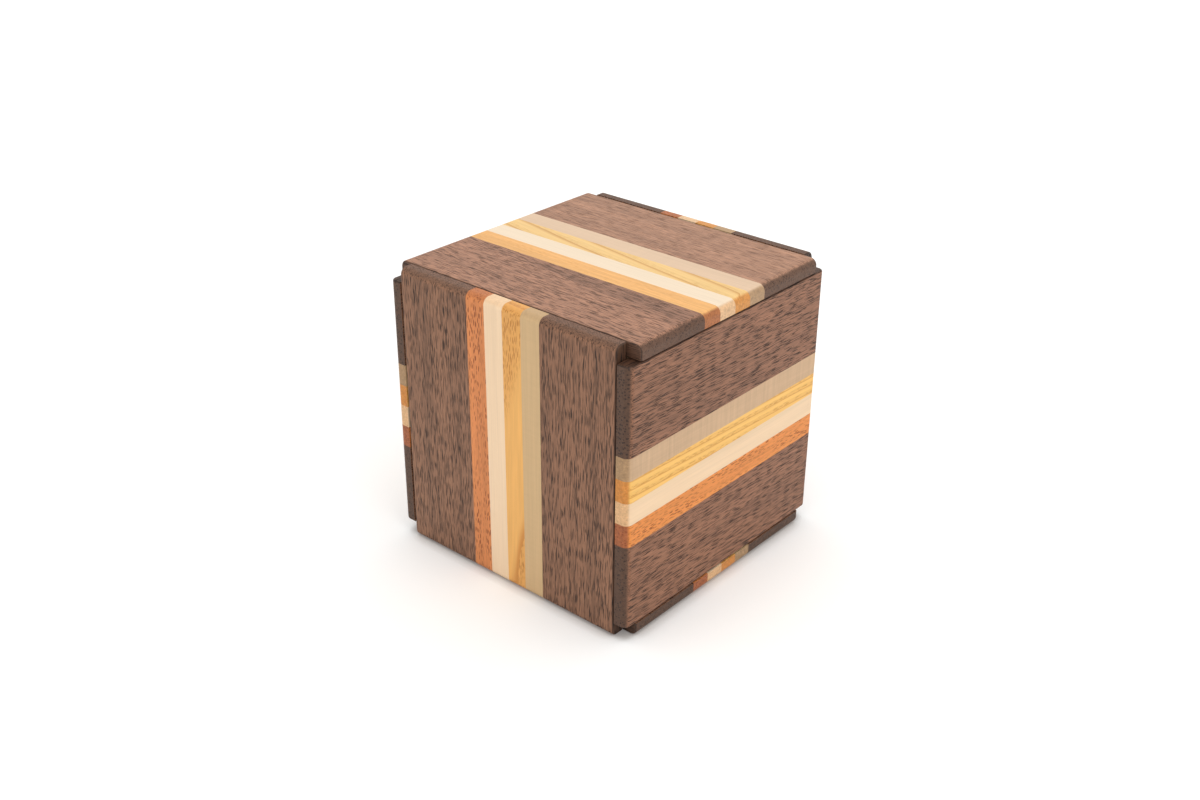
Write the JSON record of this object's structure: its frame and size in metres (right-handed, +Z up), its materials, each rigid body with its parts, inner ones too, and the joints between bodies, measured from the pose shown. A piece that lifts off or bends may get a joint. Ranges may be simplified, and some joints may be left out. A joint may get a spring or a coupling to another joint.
{
  "type": "wooden puzzle box",
  "caption": "Cube-shaped wooden puzzle box: striped panels that each slide along their own grain around an inner box, the top one being the lid of its compartment.",
  "frame": {"origin": "centre of the base, on the surface that the box stands on", "axes": "+Z up, -Y out of the front panel, +X out of the right panel and the way the lid opens"},
  "size_m": [0.085, 0.085, 0.085],
  "materials": {
    "walnut": "oiled satin walnut with open pores",
    "orange_wood": "satin red-orange hardwood with short dark pores",
    "cream_wood": "satin pale close-grained wood",
    "yellow_wood": "satin yellow wood with growth rings",
    "grey_wood": "satin greyish tan close-grained wood",
    "box_wood": "bare sanded pale wood",
    "runner_wood": "bare waxed hardwood"
  },
  "bodies": {
    "inner_box": {"box_front_wall": "box_wood", "box_back_wall": "box_wood", "box_left_wall": "box_wood", "box_right_wall": "box_wood", "box_floor": "box_wood", "stop_pegs": "runner_wood"},
    "top_panel": {"top_walnut_1": "walnut", "top_orange_stripe": "orange_wood", "top_cream_stripe": "cream_wood", "top_yellow_stripe": "yellow_wood", "top_grey_stripe": "grey_wood", "top_walnut_2": "walnut", "lid_rail_front": "runner_wood", "lid_rail_back": "runner_wood"},
    "bottom_panel": {"bottom_walnut_1": "walnut", "bottom_orange_stripe": "orange_wood", "bottom_cream_stripe": "cream_wood", "bottom_yellow_stripe": "yellow_wood", "bottom_grey_stripe": "grey_wood", "bottom_walnut_2": "walnut", "bottom_slide_batten": "runner_wood"},
    "front_panel": {"front_walnut_1": "walnut", "front_orange_stripe": "orange_wood", "front_cream_stripe": "cream_wood", "front_yellow_stripe": "yellow_wood", "front_grey_stripe": "grey_wood", "front_walnut_2": "walnut", "front_slide_batten": "runner_wood", "front_lock_key": "runner_wood"},
    "back_panel": {"back_walnut_1": "walnut", "back_orange_stripe": "orange_wood", "back_cream_stripe": "cream_wood", "back_yellow_stripe": "yellow_wood", "back_grey_stripe": "grey_wood", "back_walnut_2": "walnut", "back_slide_batten": "runner_wood", "back_lock_key": "runner_wood"},
    "left_panel": {"left_walnut_1": "walnut", "left_orange_stripe": "orange_wood", "left_cream_stripe": "cream_wood", "left_yellow_stripe": "yellow_wood", "left_grey_stripe": "grey_wood", "left_walnut_2": "walnut", "left_slide_batten": "runner_wood"},
    "right_panel": {"right_walnut_1": "walnut", "right_orange_stripe": "orange_wood", "right_cream_stripe": "cream_wood", "right_yellow_stripe": "yellow_wood", "right_grey_stripe": "grey_wood", "right_walnut_2": "walnut", "right_slide_batten": "runner_wood"}
  },
  "joints": [
    {"name": "lid_slide", "type": "slide", "parent": "inner_box", "child": "top_panel", "axis": [1, 0, 0], "range_m": [0, 0.045]},
    {"name": "bottom_slide", "type": "slide", "parent": "inner_box", "child": "bottom_panel", "axis": [1, 0, 0], "range_m": [-0.008, 0.008]},
    {"name": "front_slide", "type": "slide", "parent": "inner_box", "child": "front_panel", "axis": [0, 0, 1], "range_m": [0, 0.008]},
    {"name": "back_slide", "type": "slide", "parent": "inner_box", "child": "back_panel", "axis": [0, 0, 1], "range_m": [0, 0.008]},
    {"name": "left_slide", "type": "slide", "parent": "inner_box", "child": "left_panel", "axis": [0, 1, 0], "range_m": [-0.008, 0.008]},
    {"name": "right_slide", "type": "slide", "parent": "inner_box", "child": "right_panel", "axis": [0, 1, 0], "range_m": [-0.008, 0.008]}
  ]
}
